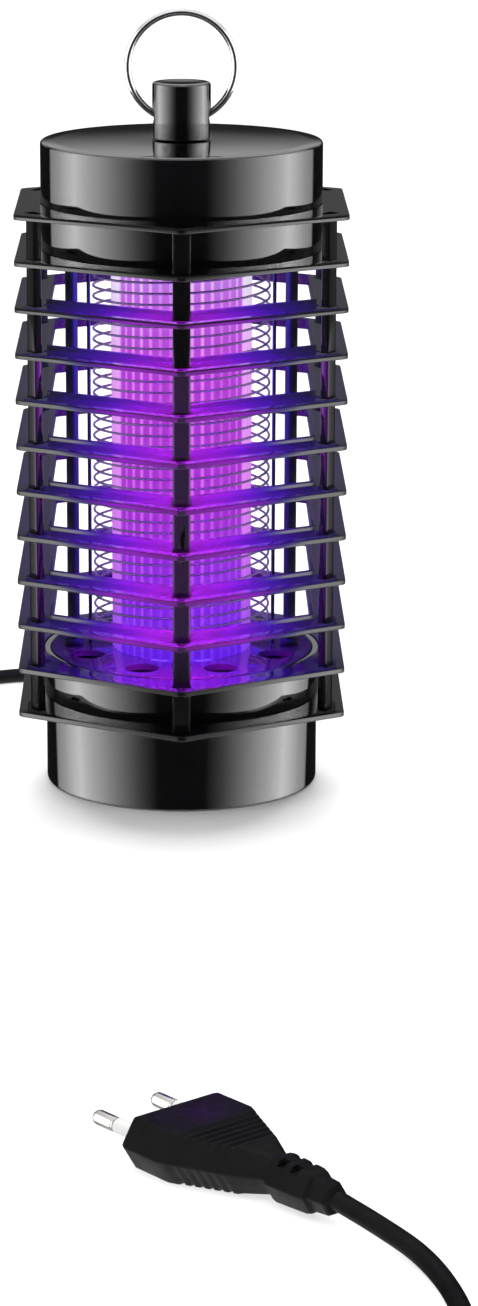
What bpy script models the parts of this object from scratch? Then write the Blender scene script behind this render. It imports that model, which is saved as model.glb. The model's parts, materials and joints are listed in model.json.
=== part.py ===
"""A lantern-shaped electric insect killer, as an assembly of its separate pieces.

The origin is at the middle of the base's underside. +Z is up and -Y is the front, where a corner
of the hexagonal cage points.
"""

from math import cos, pi, radians, sin

import bmesh
import bpy
from mathutils import Matrix, Vector

MM = 0.001
GAP = 0.3 * MM  # between pieces that touch

# Driving dimensions
BODY_HEIGHT = 210 * MM
BODY_RADIUS = 45 * MM
CAGE_WIDTH = 105 * MM  # across the flats of the hexagon
WALL = 2 * MM

RING_COUNT = 12
RING_PITCH = 14.6 * MM
FIRST_RING_TOP = 190.2 * MM
RING_THICKNESS = 1.7 * MM
RING_LAND = 11.2 * MM  # from the plate's outer edge to its inner edge
RING_CORNER = 3 * MM
LIP_HEIGHT = 1.8 * MM
LIP_THICKNESS = 1.4 * MM
CLOSED_RINGS = (1, 2, 11, 12)  # these sit around a solid wall

RIB_WIDTH = 5.5 * MM
RIB_DEPTH = 3 * MM
RIB_DISTANCE = 53.5 * MM

TRAY_RADIUS = 44.5 * MM
TRAY_SHOULDER = 27.6 * MM
TRAY_NECK_TOP = 36 * MM
TRAY_NECK_RADIUS = BODY_RADIUS - WALL - 0.5 * MM
TRAY_WALL = 1.8 * MM

DECK_THICKNESS = 2 * MM
DECK_RADIUS = BODY_RADIUS - WALL - GAP
BOARD_RIM_HEIGHT = 6 * MM
BOARD_RIM_RADII = (35.5 * MM, 39.5 * MM)
BOARD_THICKNESS = 1.6 * MM
BOARD_SCREW_DISTANCE = 37.5 * MM
BOARD_SCREW_RADIUS = 1.2 * MM

GUIDE_RADIUS = 22.7 * MM
GUIDE_WALL = 2 * MM
WINDING_RADIUS = 28.4 * MM
WINDING_PITCH = 7 * MM
WIRE_DIAMETER = 0.9 * MM
WINDING_TURNS = 17
STAY_DISTANCE = 29.9 * MM
STAY_RADIUS = 0.6 * MM
POST_DISTANCE = 35.4 * MM
POST_RADIUS = 2 * MM
FALL_HOLE_RADIUS = 5.5 * MM
FALL_HOLE_DISTANCE = 33 * MM

LED_BOARD_RADIUS = 19 * MM
LED_RADIUS = 2.5 * MM
LED_LENGTH = 6.5 * MM
LED_DISTANCE = 10 * MM

HANGER_RADIUS = 9.3 * MM
HANGER_HEIGHT = 18 * MM
HANG_RING_RADIUS = 17.05 * MM  # to the middle of the wire
HANG_WIRE_DIAMETER = 2.2 * MM
HANG_AXIS = BODY_HEIGHT + 7 * MM
HANG_BORE_RADIUS = 3 * MM
HANG_RING_CENTRE = HANG_AXIS + 15.7 * MM

CORD_DIAMETER = 5 * MM
CORD_EXIT_HEIGHT = BODY_HEIGHT - 10 * MM
RELIEF_END = 68 * MM
CORD_STEP = 16 * MM

# The plug lies flat on the surface in front, its pins pointing back to the left.
PLUG_FACE = Vector((-2 * MM, -336 * MM, 0))
PLUG_TURN = radians(130)
PLUG_THICKNESS = 13.7 * MM
PLUG_MIDDLE = PLUG_THICKNESS / 2
PIN_SPACING = 19 * MM
PIN_RADIUS = 2 * MM
PIN_LENGTH = 19 * MM
SLEEVE_LENGTH = 10 * MM
PLUG_TAIL = 60 * MM  # from the pin face to where the cord comes out

# Worked out from the above
RING_TOPS = [FIRST_RING_TOP - i * RING_PITCH for i in range(RING_COUNT)]
CAP_BOTTOM = RING_TOPS[1] - RING_THICKNESS + GAP
COLLAR_TOP = RING_TOPS[10] - GAP
COLLAR_BOTTOM = TRAY_SHOULDER + 2 * GAP
TOP_DECK_BOTTOM = CAP_BOTTOM
BOTTOM_DECK_TOP = COLLAR_TOP + GAP
GRID_BOTTOM = BOTTOM_DECK_TOP + GAP
GRID_TOP = TOP_DECK_BOTTOM - GAP
BOARD_BOTTOM = TOP_DECK_BOTTOM + DECK_THICKNESS + BOARD_RIM_HEIGHT + GAP
BOARD_TOP = BOARD_BOTTOM + BOARD_THICKNESS
CAP_CEILING = BODY_HEIGHT - WALL


def start_scene():
    """An empty scene with one collection for the pieces and one for the cutters."""
    for obj in list(bpy.data.objects):
        bpy.data.objects.remove(obj, do_unlink=True)
    found = {}
    for name in ("Bug zapper", "Cutters"):
        found[name] = bpy.data.collections.new(name)
        bpy.context.scene.collection.children.link(found[name])
    found["Cutters"].hide_render = True
    return found["Bug zapper"], found["Cutters"]


PIECES, CUTTERS = start_scene()


def make_material(name, color, roughness, metallic=0.0):
    made = bpy.data.materials.new(name)
    made.use_nodes = True
    made.diffuse_color = (*color, 1)
    shader = made.node_tree.nodes["Principled BSDF"]
    shader.inputs["Base Color"].default_value = (*color, 1)
    shader.inputs["Roughness"].default_value = roughness
    shader.inputs["Metallic"].default_value = metallic
    return made


GLOSS_BLACK = make_material("gloss_black", (0.012, 0.012, 0.014), 0.08)
SATIN_BLACK = make_material("satin_black", (0.02, 0.02, 0.025), 0.45)
CHROME = make_material("chrome", (0.75, 0.75, 0.77), 0.12, 1.0)
WIRE_STEEL = make_material("wire_steel", (0.6, 0.6, 0.62), 0.25, 1.0)
FROSTED_TUBE = make_material("frosted_tube", (0.85, 0.45, 0.9), 0.4)
LED_CLEAR = make_material("led_clear", (0.6, 0.4, 0.95), 0.1)
BOARD_GREEN = make_material("board_green", (0.03, 0.16, 0.07), 0.5)
CAPACITOR_YELLOW = make_material("capacitor_yellow", (0.55, 0.38, 0.05), 0.35)
CAPACITOR_RED = make_material("capacitor_red", (0.4, 0.06, 0.04), 0.3)
FUSE_GLASS = make_material("fuse_glass", (0.7, 0.75, 0.75), 0.1)
CORD_BLACK = make_material("cord_black", (0.02, 0.02, 0.02), 0.5)
NICKEL = make_material("nickel", (0.7, 0.69, 0.66), 0.2, 1.0)
SLEEVE_WHITE = make_material("sleeve_white", (0.75, 0.75, 0.74), 0.4)


def add_object(name, data, material, smooth=True):
    """Links a mesh or curve as a named piece."""
    obj = bpy.data.objects.new(name, data)
    PIECES.objects.link(obj)
    if not data.materials:
        data.materials.append(material)
    if smooth and isinstance(data, bpy.types.Mesh):
        data.shade_smooth()
        data.set_sharp_from_angle(angle=radians(35))
    return obj


def mesh_from(bm, name):
    mesh = bpy.data.meshes.new(name)
    bmesh.ops.recalc_face_normals(bm, faces=bm.faces)
    bm.to_mesh(mesh)
    bm.free()
    return mesh


def add_cylinder(bm, radius, low, high, segments, turn=None):
    """A cylinder along Z between two points that share x and y, or along the turned axis."""
    length = (high - low).length
    place = Matrix.Translation((low + high) / 2) @ (turn or Matrix())
    bmesh.ops.create_cone(
        bm,
        cap_ends=True,
        segments=segments,
        radius1=radius,
        radius2=radius,
        depth=length,
        matrix=place,
    )


def rod(name, radius, x, y, bottom, top, material, segments=12):
    bm = bmesh.new()
    add_cylinder(bm, radius, Vector((0, 0, bottom)), Vector((0, 0, top)), segments)
    obj = add_object(name, mesh_from(bm, name), material)
    obj.location = (x, y, 0)
    return obj


def box(name, size, place, material, bevel=0.0):
    bm = bmesh.new()
    bmesh.ops.create_cube(bm, size=1, matrix=Matrix.Diagonal((*size, 1)))
    obj = add_object(name, mesh_from(bm, name), material, smooth=False)
    obj.location = place
    if bevel:
        edges = obj.modifiers.new("Rounded edges", "BEVEL")
        edges.width = bevel
        edges.segments = 1
    return obj


def turned(name, profile, material, steps=36, closed=False):
    """A shape turned about Z. The (radius, z) profile runs down its outer side."""
    mesh = bpy.data.meshes.new(name)
    points = [(r, 0, z) for r, z in profile]
    edges = [(i, i + 1) for i in range(len(points) - 1)]
    if closed:
        edges.append((len(points) - 1, 0))
    mesh.from_pydata(points, edges, [])
    obj = add_object(name, mesh, material, smooth=False)
    screw = obj.modifiers.new("Turn", "SCREW")
    screw.steps = steps
    screw.render_steps = steps
    screw.use_merge_vertices = True
    screw.merge_threshold = 0.00001
    screw.use_smooth_shade = True
    return obj


def cutter(name, bm):
    """A hidden object that holes are cut with."""
    obj = bpy.data.objects.new(name, mesh_from(bm, name))
    CUTTERS.objects.link(obj)
    obj.hide_render = True
    obj.display_type = "WIRE"
    return obj


def cut(obj, tool):
    hole = obj.modifiers.new("Cut " + tool.name, "BOOLEAN")
    hole.operation = "DIFFERENCE"
    hole.object = tool
    return obj


def around(distance, count, first=0.0):
    """Points spread evenly on a circle, with their angles."""
    found = []
    for i in range(count):
        angle = first + 2 * pi * i / count
        found.append((distance * cos(angle), distance * sin(angle), angle))
    return found


def rounded_hexagon(half_width, corner, arc_steps=3):
    """The outline of a hexagon whose corners point along Y, with round corners."""
    centre_distance = (half_width - corner) / cos(pi / 6)
    points = []
    for i in range(6):
        corner_angle = pi / 6 + i * pi / 3
        centre = Vector((cos(corner_angle), sin(corner_angle))) * centre_distance
        for step in range(arc_steps + 1):
            angle = corner_angle - pi / 6 + pi / 3 * step / arc_steps
            points.append(centre + Vector((cos(angle), sin(angle))) * corner)
    return points


def lofted(name, loops, ring=False):
    """A mesh through loops of equal point count, capped at its ends or closed on itself."""
    bm = bmesh.new()
    rows = [[bm.verts.new(point) for point in loop] for loop in loops]
    pairs = list(zip(rows, rows[1:] + rows[:1] if ring else rows[1:]))
    for low, high in pairs:
        for i in range(len(low)):
            j = (i + 1) % len(low)
            bm.faces.new((low[i], low[j], high[j], high[i]))
    if not ring:
        bm.faces.new(rows[0])
        bm.faces.new(rows[-1])
    return mesh_from(bm, name)


def make_hanger():
    """The ring, the post that it swings in, and the screw that holds the post."""
    top = BODY_HEIGHT + HANGER_HEIGHT
    edge = 0.6 * MM
    pilot = 1.7 * MM
    pilot_end = BODY_HEIGHT + 3.2 * MM
    post = turned(
        "hanger_post",
        [
            (0, top),
            (HANGER_RADIUS - edge, top),
            (HANGER_RADIUS, top - edge),
            (HANGER_RADIUS, BODY_HEIGHT + GAP),
            (pilot, BODY_HEIGHT + GAP),
            (pilot, pilot_end),
            (0, pilot_end),
        ],
        GLOSS_BLACK,
    )
    bm = bmesh.new()
    reach = Vector((1.5 * HANGER_RADIUS, 0, 0))
    centre = Vector((0, 0, HANG_AXIS))
    across = Matrix.Rotation(pi / 2, 4, "Y")
    add_cylinder(bm, HANG_BORE_RADIUS, centre - reach, centre + reach, 20, across)
    cut(post, cutter("hang_bore", bm))

    head_top = CAP_CEILING - GAP
    turned(
        "hanger_screw",
        [
            (0, pilot_end - GAP),
            (1.3 * MM, pilot_end - GAP),
            (1.3 * MM, head_top),
            (3.2 * MM, head_top),
            (3.2 * MM, head_top - 1.2 * MM),
            (2.2 * MM, head_top - 2.2 * MM),
            (0, head_top - 2.2 * MM),
        ],
        WIRE_STEEL,
        steps=12,
    )

    pivot = bpy.data.objects.new("hang_ring_pivot", None)
    PIECES.objects.link(pivot)
    pivot.location = (0, 0, HANG_AXIS)
    bpy.ops.mesh.primitive_torus_add(
        major_radius=HANG_RING_RADIUS,
        minor_radius=HANG_WIRE_DIAMETER / 2,
        major_segments=40,
        minor_segments=8,
    )
    ring = bpy.context.object
    ring.name = "hang_ring"
    ring.data.transform(Matrix.Rotation(pi / 2, 4, "X"))
    ring.data.materials.append(CHROME)
    ring.data.shade_smooth()
    for holder in list(ring.users_collection):
        holder.objects.unlink(ring)
    PIECES.objects.link(ring)
    ring.parent = pivot
    ring.location = (0, 0, HANG_RING_CENTRE - HANG_AXIS)


def make_housing():
    """The cap, with its holes for the post's screw and the cord, and the deck inside it."""
    edge = 0.8 * MM
    hole = 1.7 * MM
    inner = BODY_RADIUS - WALL
    cap = turned(
        "top_cap",
        [
            (hole, BODY_HEIGHT),
            (BODY_RADIUS - edge, BODY_HEIGHT),
            (BODY_RADIUS, BODY_HEIGHT - edge),
            (BODY_RADIUS, CAP_BOTTOM),
            (inner, CAP_BOTTOM),
            (inner, CAP_CEILING),
            (hole, CAP_CEILING),
        ],
        GLOSS_BLACK,
        steps=48,
        closed=True,
    )
    bm = bmesh.new()
    inside = Vector((0, BODY_RADIUS - 8 * MM, CORD_EXIT_HEIGHT))
    outside = Vector((0, BODY_RADIUS + 8 * MM, CORD_EXIT_HEIGHT))
    along_y = Matrix.Rotation(pi / 2, 4, "X")
    add_cylinder(bm, 3.6 * MM, inside, outside, 16, along_y)
    cut(cap, cutter("cord_hole", bm))

    floor = TOP_DECK_BOTTOM + DECK_THICKNESS
    rim = floor + BOARD_RIM_HEIGHT
    deck = turned(
        "top_deck",
        [
            (0, floor),
            (BOARD_RIM_RADII[0], floor),
            (BOARD_RIM_RADII[0], rim),
            (BOARD_RIM_RADII[1], rim),
            (BOARD_RIM_RADII[1], floor),
            (DECK_RADIUS, floor),
            (DECK_RADIUS, TOP_DECK_BOTTOM),
            (0, TOP_DECK_BOTTOM),
        ],
        SATIN_BLACK,
    )
    bm = bmesh.new()
    for x in (0, 26 * MM, -26 * MM):
        low = Vector((x, 0, TOP_DECK_BOTTOM - MM))
        add_cylinder(bm, 2 * MM, low, Vector((x, 0, floor + MM)), 10)
    cut(deck, cutter("lead_holes", bm))
    return deck


def make_electronics(deck):
    """The high-voltage board above the deck."""
    board = rod(
        "circuit_board", 40.5 * MM, 0, 0, BOARD_BOTTOM, BOARD_TOP, BOARD_GREEN, 32
    )
    bm = bmesh.new()
    hole_bottom = BOARD_BOTTOM - 5.5 * MM
    places = around(BOARD_SCREW_DISTANCE, 2, pi / 4)
    for x, y, _ in places:
        low = Vector((x, y, hole_bottom))
        high = Vector((x, y, BOARD_TOP + MM))
        add_cylinder(bm, BOARD_SCREW_RADIUS + GAP, low, high, 10)
    screw_holes = cutter("board_screw_holes", bm)
    cut(board, screw_holes)
    cut(deck, screw_holes)
    seat = BOARD_TOP + GAP
    for i, (x, y, _) in enumerate(places, 1):
        screw = turned(
            f"board_screw_{i}",
            [
                (0, seat + 1.8 * MM),
                (1.6 * MM, seat + 1.8 * MM),
                (2.5 * MM, seat + MM),
                (2.5 * MM, seat),
                (BOARD_SCREW_RADIUS, seat),
                (BOARD_SCREW_RADIUS, hole_bottom + GAP),
                (0, hole_bottom + GAP),
            ],
            WIRE_STEEL,
            steps=10,
        )
        screw.location = (x, y, 0)
    blocks = (
        ("dropper_capacitor", (18, 9, 13), (-15, 11), CAPACITOR_YELLOW),
        ("hv_capacitor_1", (13, 6, 11), (14, 14), CAPACITOR_RED),
        ("hv_capacitor_2", (13, 6, 11), (14, 2), CAPACITOR_RED),
    )
    for name, size, (x, y), material in blocks:
        size = Vector(size) * MM
        place = (x * MM, y * MM, seat + size.z / 2)
        box(name, size, place, material, bevel=MM)
    bm = bmesh.new()
    fuse_radius = 2.6 * MM
    centre = Vector((-10 * MM, -14 * MM, seat + fuse_radius))
    half = Vector((10 * MM, 0, 0))
    across = Matrix.Rotation(pi / 2, 4, "Y")
    add_cylinder(bm, fuse_radius, centre - half, centre + half, 12, across)
    add_object("fuse", mesh_from(bm, "fuse"), FUSE_GLASS)


def make_light():
    """The ultraviolet diodes and the tube that they shine down into."""
    board_top = TOP_DECK_BOTTOM - GAP
    board_bottom = board_top - BOARD_THICKNESS
    rod("led_board", LED_BOARD_RADIUS, 0, 0, board_bottom, board_top, BOARD_GREEN, 24)
    seat = board_bottom - GAP
    tip = seat - LED_LENGTH
    dome = [
        (LED_RADIUS * sin(pi / 2 * i / 3), tip + LED_RADIUS * (1 - cos(pi / 2 * i / 3)))
        for i in (3, 2, 1, 0)
    ]
    for i, (x, y, _) in enumerate(around(LED_DISTANCE, 4, pi / 4), 1):
        profile = [(0, seat), (LED_RADIUS, seat)] + dome
        led = turned(f"uv_led_{i}", profile, LED_CLEAR, steps=12)
        led.location = (x, y, 0)
    inner = GUIDE_RADIUS - GUIDE_WALL
    turned(
        "light_guide",
        [
            (GUIDE_RADIUS, GRID_TOP),
            (GUIDE_RADIUS, GRID_BOTTOM),
            (inner, GRID_BOTTOM),
            (inner, GRID_TOP),
        ],
        FROSTED_TUBE,
        closed=True,
    )


def make_winding(name, start_height, phase):
    """One high-voltage wire, wound as a helix."""
    steps = 10
    curve = bpy.data.curves.new(name, "CURVE")
    curve.dimensions = "3D"
    curve.bevel_depth = WIRE_DIAMETER / 2
    curve.bevel_resolution = 0
    curve.use_fill_caps = True
    line = curve.splines.new("POLY")
    count = WINDING_TURNS * steps + 1
    line.points.add(count - 1)
    for i, point in enumerate(line.points):
        angle = phase + 2 * pi * i / steps
        height = start_height + WINDING_PITCH * i / steps
        x = WINDING_RADIUS * cos(angle)
        y = WINDING_RADIUS * sin(angle)
        point.co = (x, y, height, 1)
    add_object(name, curve, WIRE_STEEL)


def make_grid():
    """The two windings, their stays, and the posts that join the decks."""
    height = WINDING_TURNS * WINDING_PITCH + WINDING_PITCH / 2
    start = (GRID_BOTTOM + GRID_TOP - height) / 2
    make_winding("hv_winding_a", start, 0)
    make_winding("hv_winding_b", start + WINDING_PITCH / 2, 0)
    for i, (x, y, _) in enumerate(around(STAY_DISTANCE, 4), 1):
        rod(f"grid_stay_{i}", STAY_RADIUS, x, y, GRID_BOTTOM, GRID_TOP, SATIN_BLACK, 8)
    for i, (x, y, _) in enumerate(around(POST_DISTANCE, 4), 1):
        rod(f"grid_post_{i}", POST_RADIUS, x, y, GRID_BOTTOM, GRID_TOP, SATIN_BLACK, 12)


def rib_slots():
    """The slots in the plates that the ribs pass through."""
    bm = bmesh.new()
    size = (RIB_DEPTH + 2 * GAP, RIB_WIDTH + 2 * GAP, BODY_HEIGHT)
    for x, y, angle in around(RIB_DISTANCE, 6, pi / 6):
        place = Matrix.Translation((x, y, size[2] / 2)) @ Matrix.Rotation(angle, 4, "Z")
        bmesh.ops.create_cube(bm, size=1, matrix=place @ Matrix.Diagonal((*size, 1)))
    return cutter("rib_slots", bm)


def louvre_mesh():
    """A hexagonal plate with an upright lip around its opening, its top face at z = 0."""
    outer = CAGE_WIDTH / 2
    inner = outer - RING_LAND
    lip = inner + LIP_THICKNESS
    section = [
        (outer, RING_CORNER, -RING_THICKNESS),
        (outer, RING_CORNER, 0),
        (lip, RING_CORNER, 0),
        (lip, RING_CORNER, LIP_HEIGHT),
        (inner, RING_CORNER - LIP_THICKNESS, LIP_HEIGHT),
        (inner, RING_CORNER - LIP_THICKNESS, -RING_THICKNESS),
    ]
    loops = []
    for half_width, corner, z in section:
        outline = rounded_hexagon(half_width, corner)
        loops.append([(*point, z) for point in outline])
    return lofted("louvre", loops, ring=True)


def closed_ring_mesh():
    """A flat hexagonal plate, its top face at z = 0, before its round hole is cut."""
    outline = rounded_hexagon(CAGE_WIDTH / 2, RING_CORNER)
    loops = [[(*point, z) for point in outline] for z in (-RING_THICKNESS, 0)]
    return lofted("closed_louvre", loops)


def make_cage():
    """Twelve louvre plates on six ribs."""
    slots = rib_slots()
    bm = bmesh.new()
    low = Vector((0, 0, 0))
    add_cylinder(bm, BODY_RADIUS + GAP, low, Vector((0, 0, BODY_HEIGHT)), 48)
    wall_hole = cutter("wall_hole", bm)
    louvre = louvre_mesh()
    plate = closed_ring_mesh()
    for i, top in enumerate(RING_TOPS, 1):
        mesh = plate if i in CLOSED_RINGS else louvre
        ring = add_object(f"louvre_ring_{i:02d}", mesh, GLOSS_BLACK)
        ring.location = (0, 0, top)
        cut(ring, slots)
        if i in CLOSED_RINGS:
            cut(ring, wall_hole)
    bottom = RING_TOPS[-1] - RING_THICKNESS
    size = (RIB_DEPTH, RIB_WIDTH, RING_TOPS[0] - GAP - bottom)
    for i, (x, y, angle) in enumerate(around(RIB_DISTANCE, 6, pi / 6), 1):
        place = (x, y, bottom + size[2] / 2)
        rib = box(f"cage_rib_{i}", size, place, GLOSS_BLACK, bevel=0.7 * MM)
        rib.rotation_euler.z = angle


def make_base():
    """The collar, the deck that insects fall through, and the tray that catches them."""
    inner = BODY_RADIUS - WALL
    turned(
        "bottom_collar",
        [
            (BODY_RADIUS, COLLAR_TOP),
            (BODY_RADIUS, COLLAR_BOTTOM),
            (inner, COLLAR_BOTTOM),
            (inner, COLLAR_TOP),
        ],
        GLOSS_BLACK,
        steps=48,
        closed=True,
    )
    deck = rod(
        "bottom_deck",
        DECK_RADIUS,
        0,
        0,
        BOTTOM_DECK_TOP - DECK_THICKNESS,
        BOTTOM_DECK_TOP,
        SATIN_BLACK,
        36,
    )
    bm = bmesh.new()
    for x, y, _ in around(FALL_HOLE_DISTANCE, 8, pi / 8):
        low = Vector((x, y, BOTTOM_DECK_TOP - DECK_THICKNESS - MM))
        high = Vector((x, y, BOTTOM_DECK_TOP + MM))
        add_cylinder(bm, FALL_HOLE_RADIUS, low, high, 12)
    cut(deck, cutter("fall_holes", bm))
    edge = 0.8 * MM
    tray_inner = TRAY_NECK_RADIUS - TRAY_WALL
    turned(
        "insect_tray",
        [
            (0, WALL),
            (tray_inner, WALL),
            (tray_inner, TRAY_NECK_TOP),
            (TRAY_NECK_RADIUS, TRAY_NECK_TOP),
            (TRAY_NECK_RADIUS, TRAY_SHOULDER),
            (TRAY_RADIUS, TRAY_SHOULDER),
            (TRAY_RADIUS, edge),
            (TRAY_RADIUS - edge, 0),
            (0, 0),
        ],
        GLOSS_BLACK,
        steps=48,
    )


def plug_frame():
    """Places the plug's own frame: +X runs along its pins, and z = 0 is the surface it lies on."""
    return Matrix.Translation(PLUG_FACE) @ Matrix.Rotation(PLUG_TURN, 4, "Z")


def plug_section(x, width, thickness):
    """One flattened octagon of the plug's body, at x behind the pin face."""
    half_width = width / 2
    half = thickness / 2
    chamfer = min(half_width, half) * 0.55
    outline = [
        (half_width, half - chamfer),
        (half_width - chamfer, half),
        (chamfer - half_width, half),
        (-half_width, half - chamfer),
        (-half_width, chamfer - half),
        (chamfer - half_width, -half),
        (half_width - chamfer, -half),
        (half_width, chamfer - half),
    ]
    return [(x, y, PLUG_MIDDLE + z) for y, z in outline]


def make_plug():
    """A flat two-pin plug with half-insulated pins."""
    stations = (
        (0, 34, 12.7),
        (-1, 35.3, 13.7),
        (-14, 35.3, 13.7),
        (-28, 25, 13),
        (-35, 14, 11),
        (-39, 10, 9.5),
        (-42, 13, 11.5),
        (-54, 12, 10.5),
        (-60, 8.5, 8),
    )
    loops = [plug_section(x * MM, w * MM, t * MM) for x, w, t in stations]
    body = add_object("plug_body", lofted("plug_body", loops), CORD_BLACK)
    body.matrix_world = plug_frame()
    along_pin = Matrix.Rotation(pi / 2, 4, "Y")
    for i, side in enumerate((1, -1), 1):
        y = side * PIN_SPACING / 2
        spans = (
            (f"pin_sleeve_{i}", GAP, GAP + SLEEVE_LENGTH, SLEEVE_WHITE),
            (f"plug_pin_{i}", 2 * GAP + SLEEVE_LENGTH, PIN_LENGTH, NICKEL),
        )
        for name, start, end, material in spans:
            bm = bmesh.new()
            low = Vector((start, y, PLUG_MIDDLE))
            high = Vector((end, y, PLUG_MIDDLE))
            add_cylinder(bm, PIN_RADIUS, low, high, 12, along_pin)
            pin = add_object(name, mesh_from(bm, name), material)
            pin.matrix_world = plug_frame()


def cord_route():
    """The cord's way from the strain relief to the plug, chosen by hand."""
    radius = CORD_DIAMETER / 2 / MM
    behind = [
        (0, 68.9, 200),
        (0, 76, 199.8),
        (0, 85.5, 195.5),
        (0, 91.5, 187),
        (0, 93.5, 176),
        (0, 94, 140),
        (0, 94, 100),
        (0, 94, 60),
        (-0.5, 94.5, 36),
        (-4, 97, 19),
        (-13, 103, 7.5),
        (-27, 111, radius + 0.5),
        (-44, 116.5, radius),
    ]
    left_side = [
        (-60, 116, radius),
        (-76, 107, radius),
        (-85, 90, radius),
        (-87, 60, radius),
        (-85, 10, radius),
        (-80, -60, radius),
        (-75, -140, radius),
        (-72, -220, radius),
        (-72, -300, radius),
        (-74, -380, radius),
        (-75, -450, radius),
        (-73, -500, radius),
        (-64, -530, radius),
        (-44, -548, radius),
        (-14, -556, radius),
        (18, -553, radius),
        (42, -540, radius),
        (57, -516, radius),
        (63, -488, radius),
        (64, -460, radius),
        (63, -437, radius),
        (60, -419, radius),
        (54.6, -404.8, radius + 0.9),
        (46.2, -393.5, radius + 2.7),
    ]
    tail = plug_frame() @ Vector((-PLUG_TAIL - 3 * GAP, 0, PLUG_MIDDLE))
    return [Vector(point) * MM for point in behind + left_side] + [tail]


def smooth_curve(points, steps=24):
    """Points on a smooth curve through the given ones, close together."""
    ends = [2 * points[0] - points[1]] + points + [2 * points[-1] - points[-2]]
    found = []
    for a, b, c, d in zip(ends, ends[1:], ends[2:], ends[3:]):
        for i in range(steps):
            t = i / steps
            found.append(
                0.5
                * (
                    2 * b
                    + (c - a) * t
                    + (2 * a - 5 * b + 4 * c - d) * t**2
                    + (3 * b - a - 3 * c + d) * t**3
                )
            )
    return found + [points[-1]]


def evenly_spaced(points, step):
    """Points the same distance apart along a line of close points."""
    lengths = [0.0]
    for a, b in zip(points, points[1:]):
        lengths.append(lengths[-1] + (b - a).length)
    count = round(lengths[-1] / step)
    found = []
    at = 0
    for i in range(count + 1):
        wanted = lengths[-1] * i / count
        while at < len(points) - 2 and lengths[at + 1] < wanted:
            at += 1
        share = (wanted - lengths[at]) / (lengths[at + 1] - lengths[at])
        found.append(points[at].lerp(points[at + 1], share))
    return found


def make_cord():
    """The strain relief and the cord."""
    relief = turned(
        "strain_relief",
        [
            (0, RELIEF_END),
            (3.2 * MM, RELIEF_END),
            (4.4 * MM, 48.5 * MM),
            (5.2 * MM, 48 * MM),
            (5.2 * MM, 45.4 * MM),
            (3.2 * MM, 45.4 * MM),
            (3.2 * MM, 42.4 * MM),
            (4.8 * MM, 42.4 * MM),
            (4.8 * MM, 39.9 * MM),
            (0, 39.9 * MM),
        ],
        CORD_BLACK,
        steps=16,
    )
    relief.location = (0, 0, CORD_EXIT_HEIGHT)
    relief.rotation_euler.x = -pi / 2

    curve = bpy.data.curves.new("power_cord", "CURVE")
    curve.dimensions = "3D"
    curve.bevel_depth = CORD_DIAMETER / 2
    curve.bevel_resolution = 2
    curve.use_fill_caps = True
    points = evenly_spaced(smooth_curve(cord_route()), CORD_STEP)
    line = curve.splines.new("POLY")
    line.points.add(len(points) - 1)
    for point, place in zip(line.points, points):
        point.co = (*place, 1)
    add_object("power_cord", curve, CORD_BLACK)


make_hanger()
make_electronics(make_housing())
make_light()
make_grid()
make_cage()
make_base()
make_plug()
make_cord()
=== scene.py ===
"""The looks of a lantern-shaped electric insect killer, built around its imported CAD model."""

import json
from math import atan2, cos, pi, radians, sin, tan

import bmesh
import bpy
from mathutils import Matrix, Vector

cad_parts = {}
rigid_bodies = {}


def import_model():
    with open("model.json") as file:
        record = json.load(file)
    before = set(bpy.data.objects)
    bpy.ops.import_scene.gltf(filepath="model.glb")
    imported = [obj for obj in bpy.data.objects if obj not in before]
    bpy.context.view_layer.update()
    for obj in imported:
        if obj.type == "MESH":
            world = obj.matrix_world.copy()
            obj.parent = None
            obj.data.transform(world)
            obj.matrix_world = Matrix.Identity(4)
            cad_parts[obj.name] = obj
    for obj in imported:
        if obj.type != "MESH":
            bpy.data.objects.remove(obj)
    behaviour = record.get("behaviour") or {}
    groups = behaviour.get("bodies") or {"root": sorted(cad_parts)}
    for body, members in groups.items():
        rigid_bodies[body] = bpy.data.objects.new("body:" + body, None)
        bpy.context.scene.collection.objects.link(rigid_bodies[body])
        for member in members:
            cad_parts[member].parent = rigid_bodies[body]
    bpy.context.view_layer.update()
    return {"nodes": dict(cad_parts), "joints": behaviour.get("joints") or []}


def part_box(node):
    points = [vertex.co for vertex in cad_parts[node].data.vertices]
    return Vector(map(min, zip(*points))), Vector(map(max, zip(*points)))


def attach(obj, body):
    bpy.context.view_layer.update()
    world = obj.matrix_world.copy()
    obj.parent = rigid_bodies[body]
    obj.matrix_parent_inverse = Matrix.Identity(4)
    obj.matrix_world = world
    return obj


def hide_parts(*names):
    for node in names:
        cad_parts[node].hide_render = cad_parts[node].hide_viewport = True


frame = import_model()
MM = 0.001
GAP = 0.3 * MM

# Sizes that the CAD model's boxes give
CAP_LOW, CAP_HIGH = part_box("top_cap")
COLLAR_LOW, COLLAR_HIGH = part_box("bottom_collar")
TRAY_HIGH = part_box("insect_tray")[1]
TUBE_LOW, TUBE_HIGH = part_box("light_guide")
PLATE_LOW, PLATE_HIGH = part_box("louvre_ring_05")
POST_LOW, POST_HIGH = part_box("hanger_post")
RING_LOW, RING_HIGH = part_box("hang_ring")
DECK_LOW, DECK_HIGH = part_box("bottom_deck")
RELIEF_LOW, RELIEF_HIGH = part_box("strain_relief")

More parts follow.
